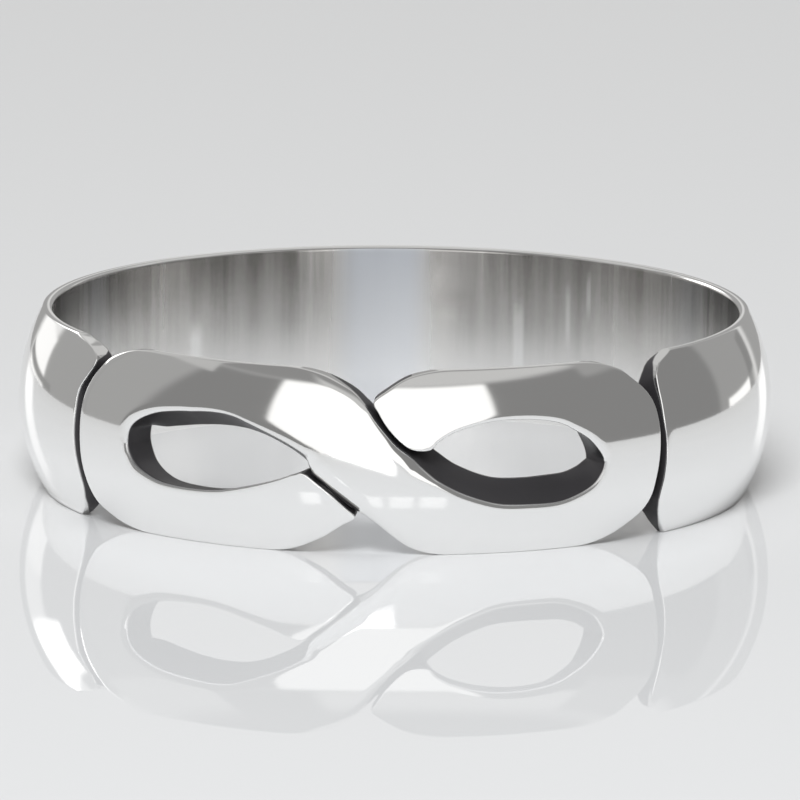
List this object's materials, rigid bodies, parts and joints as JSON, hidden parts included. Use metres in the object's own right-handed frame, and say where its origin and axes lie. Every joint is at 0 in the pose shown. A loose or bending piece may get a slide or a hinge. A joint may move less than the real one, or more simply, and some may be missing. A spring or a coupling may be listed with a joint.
{
  "type": "infinity ring",
  "caption": "Half-round silver finger ring whose front is pierced into an infinity sign, one strand crossing over the other, with notched rims and dark grooves.",
  "frame": {"origin": "centre of the finger hole at the lower rim, on the surface that the ring lies on", "axes": "+Z along the finger hole, from the lower rim to the upper one; the infinity sign faces -Y, with its crossing on the Y axis"},
  "size_m": [0.02, 0.02, 0.0048],
  "materials": {
    "silver": "mirror polished sterling silver, dark oxide left in the grooves and on the walls of the holes"
  },
  "bodies": {
    "root": {"infinity_ring": "silver"}
  },
  "joints": []
}
